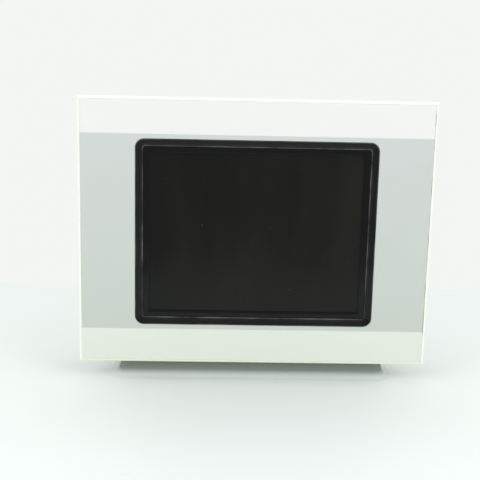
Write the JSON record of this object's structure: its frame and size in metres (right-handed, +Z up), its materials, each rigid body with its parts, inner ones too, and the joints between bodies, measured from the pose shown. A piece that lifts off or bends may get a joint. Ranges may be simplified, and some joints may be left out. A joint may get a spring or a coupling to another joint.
{
  "type": "hmi touch panel",
  "caption": "Flush-mounted operator panel with a flat light-grey front, a recessed dark touch display, a metal rear housing with sockets and swing-out panel clamps.",
  "frame": {"origin": "centre of the panel gasket's rear face, the plane of the cabinet's front skin", "axes": "+X to the operator's right, +Y into the cabinet (the front faces -Y), +Z up"},
  "size_m": [0.35, 0.081, 0.267],
  "materials": {
    "front_plate": "light grey powder coat on cast aluminium",
    "front_overlay": "printed textured polyester, two tones of light grey",
    "display_frame": "fine textured black moulding",
    "panel_gasket": "closed-cell foam rubber",
    "touch_gasket": "thin foam",
    "touch_sensor": "anti-glare hard-coated touch glass over a dark display",
    "touch_tail": "polyimide flexible circuit",
    "lcd_gasket": "thin foam",
    "lcd_front_frame": "stamped stainless can",
    "lcd_glass": "liquid crystal cell, unlit",
    "lcd_diffuser": "diffusing film",
    "lcd_light_guide": "clear acrylic",
    "lcd_lamps": "cold-cathode tubes",
    "lcd_rear_tray": "white polycarbonate",
    "lcd_brackets": "zinc-plated steel",
    "lcd_cable": "grey flat cable",
    "rear_housing": "dark grey powder coat on die-cast aluminium",
    "housing_screws": "zinc plated",
    "rear_cover": "galvanised sheet steel",
    "cover_screws": "zinc plated",
    "battery_cover": "black moulded",
    "battery_tray": "black moulded",
    "battery": "shrink-sleeved cell, blank",
    "earth_stud": "zinc plated",
    "earth_nut": "zinc plated",
    "rating_label": "blank foil plate",
    "chassis_plate": "galvanised sheet steel",
    "chassis_standoffs": "nickel-plated brass",
    "chassis_screws": "zinc plated",
    "board_standoffs": "brass and nylon",
    "main_board": "green solder mask on glass-epoxy",
    "heatsink": "black anodised",
    "memory_module": "glass-epoxy with chips",
    "board_parts": "moulded packages",
    "inverter_board": "green solder mask on glass-epoxy",
    "inverter_parts": "ferrite and film capacitors",
    "power_socket": "green polyamide",
    "power_plug": "green polyamide",
    "plug_screws": "zinc plated",
    "serial_ports": "tinned steel shell",
    "jackscrews": "zinc plated",
    "ethernet_jack": "tinned shield",
    "usb_socket": "nickel-plated shell",
    "switch_bodies": "black moulded",
    "rotary_dial_1": "white moulded",
    "rotary_dial_2": "white moulded",
    "reset_button": "red moulded",
    "termination_slider": "white moulded",
    "card_slot": "black moulded",
    "memory_card": "black card, blank",
    "card_ejector": "stainless bar",
    "eject_button": "black moulded",
    "clamp_screw_1": "zinc plated",
    "clamp_pawl_1": "die-cast zinc, tumbled",
    "clamp_screw_2": "zinc plated",
    "clamp_pawl_2": "die-cast zinc, tumbled",
    "clamp_screw_3": "zinc plated",
    "clamp_pawl_3": "die-cast zinc, tumbled",
    "clamp_screw_4": "zinc plated",
    "clamp_pawl_4": "die-cast zinc, tumbled"
  },
  "bodies": {
    "panel": {"front_plate": "front_plate", "front_overlay": "front_overlay", "display_frame": "display_frame", "panel_gasket": "panel_gasket", "touch_gasket": "touch_gasket", "touch_sensor": "touch_sensor", "touch_tail": "touch_tail", "lcd_gasket": "lcd_gasket", "lcd_front_frame": "lcd_front_frame", "lcd_glass": "lcd_glass", "lcd_diffuser": "lcd_diffuser", "lcd_light_guide": "lcd_light_guide", "lcd_lamps": "lcd_lamps", "lcd_rear_tray": "lcd_rear_tray", "lcd_brackets": "lcd_brackets", "lcd_cable": "lcd_cable", "rear_housing": "rear_housing", "housing_screws": "housing_screws", "rear_cover": "rear_cover", "cover_screws": "cover_screws", "battery_tray": "battery_tray", "battery": "battery", "earth_stud": "earth_stud", "earth_nut": "earth_nut", "rating_label": "rating_label", "chassis_plate": "chassis_plate", "chassis_standoffs": "chassis_standoffs", "chassis_screws": "chassis_screws", "board_standoffs": "board_standoffs", "main_board": "main_board", "heatsink": "heatsink", "memory_module": "memory_module", "board_parts": "board_parts", "inverter_board": "inverter_board", "inverter_parts": "inverter_parts", "power_socket": "power_socket", "serial_ports": "serial_ports", "jackscrews": "jackscrews", "ethernet_jack": "ethernet_jack", "usb_socket": "usb_socket", "switch_bodies": "switch_bodies", "card_slot": "card_slot"},
    "clamp_screw_1": {"clamp_screw_1": "clamp_screw_1"},
    "clamp_pawl_1": {"clamp_pawl_1": "clamp_pawl_1"},
    "clamp_screw_2": {"clamp_screw_2": "clamp_screw_2"},
    "clamp_pawl_2": {"clamp_pawl_2": "clamp_pawl_2"},
    "clamp_screw_3": {"clamp_screw_3": "clamp_screw_3"},
    "clamp_pawl_3": {"clamp_pawl_3": "clamp_pawl_3"},
    "clamp_screw_4": {"clamp_screw_4": "clamp_screw_4"},
    "clamp_pawl_4": {"clamp_pawl_4": "clamp_pawl_4"},
    "power_plug": {"power_plug": "power_plug", "plug_screws": "plug_screws"},
    "rotary_dial_1": {"rotary_dial_1": "rotary_dial_1"},
    "rotary_dial_2": {"rotary_dial_2": "rotary_dial_2"},
    "reset_button": {"reset_button": "reset_button"},
    "termination_slider": {"termination_slider": "termination_slider"},
    "card_ejector": {"card_ejector": "card_ejector"},
    "memory_card": {"memory_card": "memory_card"},
    "eject_button": {"eject_button": "eject_button"},
    "battery_cover": {"battery_cover": "battery_cover"}
  },
  "joints": [
    {"name": "clamp_swing_1", "type": "hinge", "parent": "panel", "child": "clamp_screw_1", "pos_m": [-0.117, 0.025, 0.109], "axis": [0, -1, 0], "range_deg": [0, 90]},
    {"name": "clamp_travel_1", "type": "slide", "parent": "clamp_screw_1", "child": "clamp_pawl_1", "axis": [0, -1, 0], "range_m": [0, 0.0105]},
    {"name": "clamp_swing_2", "type": "hinge", "parent": "panel", "child": "clamp_screw_2", "pos_m": [0.099, 0.025, 0.109], "axis": [0, -1, 0], "range_deg": [0, 90]},
    {"name": "clamp_travel_2", "type": "slide", "parent": "clamp_screw_2", "child": "clamp_pawl_2", "axis": [0, -1, 0], "range_m": [0, 0.0105]},
    {"name": "clamp_swing_3", "type": "hinge", "parent": "panel", "child": "clamp_screw_3", "pos_m": [0.117, 0.025, -0.109], "axis": [0, -1, 0], "range_deg": [0, 90]},
    {"name": "clamp_travel_3", "type": "slide", "parent": "clamp_screw_3", "child": "clamp_pawl_3", "axis": [0, -1, 0], "range_m": [0, 0.0105]},
    {"name": "clamp_swing_4", "type": "hinge", "parent": "panel", "child": "clamp_screw_4", "pos_m": [-0.099, 0.025, -0.109], "axis": [0, -1, 0], "range_deg": [0, 90]},
    {"name": "clamp_travel_4", "type": "slide", "parent": "clamp_screw_4", "child": "clamp_pawl_4", "axis": [0, -1, 0], "range_m": [0, 0.0105]},
    {"name": "power_plug_pull", "type": "slide", "parent": "panel", "child": "power_plug", "axis": [0, 0, -1], "range_m": [0, 0.011]},
    {"name": "rotary_dial_1_turn", "type": "hinge", "parent": "panel", "child": "rotary_dial_1", "pos_m": [0.05, 0.0296, -0.116], "axis": [0, 0, 1], "continuous": true},
    {"name": "rotary_dial_2_turn", "type": "hinge", "parent": "panel", "child": "rotary_dial_2", "pos_m": [0.0625, 0.0296, -0.116], "axis": [0, 0, 1], "continuous": true},
    {"name": "reset_press", "type": "slide", "parent": "panel", "child": "reset_button", "axis": [0, 0, 1], "range_m": [0, 0.0012], "stiffness_N_per_m": 400, "springref_m": -0.001},
    {"name": "termination_slide", "type": "slide", "parent": "panel", "child": "termination_slider", "axis": [1, 0, 0], "range_m": [0, 0.002]},
    {"name": "eject_press", "type": "slide", "parent": "panel", "child": "eject_button", "axis": [-1, 0, 0], "range_m": [0, 0.005]},
    {"name": "card_ejector_push", "type": "slide", "parent": "panel", "child": "card_ejector", "axis": [1, 0, 0], "range_m": [0, 0.005]},
    {"name": "memory_card_pull", "type": "slide", "parent": "card_ejector", "child": "memory_card", "axis": [1, 0, 0], "range_m": [0, 0.037]},
    {"name": "battery_cover_swing", "type": "hinge", "parent": "panel", "child": "battery_cover", "pos_m": [-0.082, 0.0606, 0.046], "axis": [0, 0, 1], "range_deg": [0, 110]}
  ],
  "couplings": [
    {"joint": "card_ejector_push", "follows": "eject_press", "ratio": 1}
  ]
}
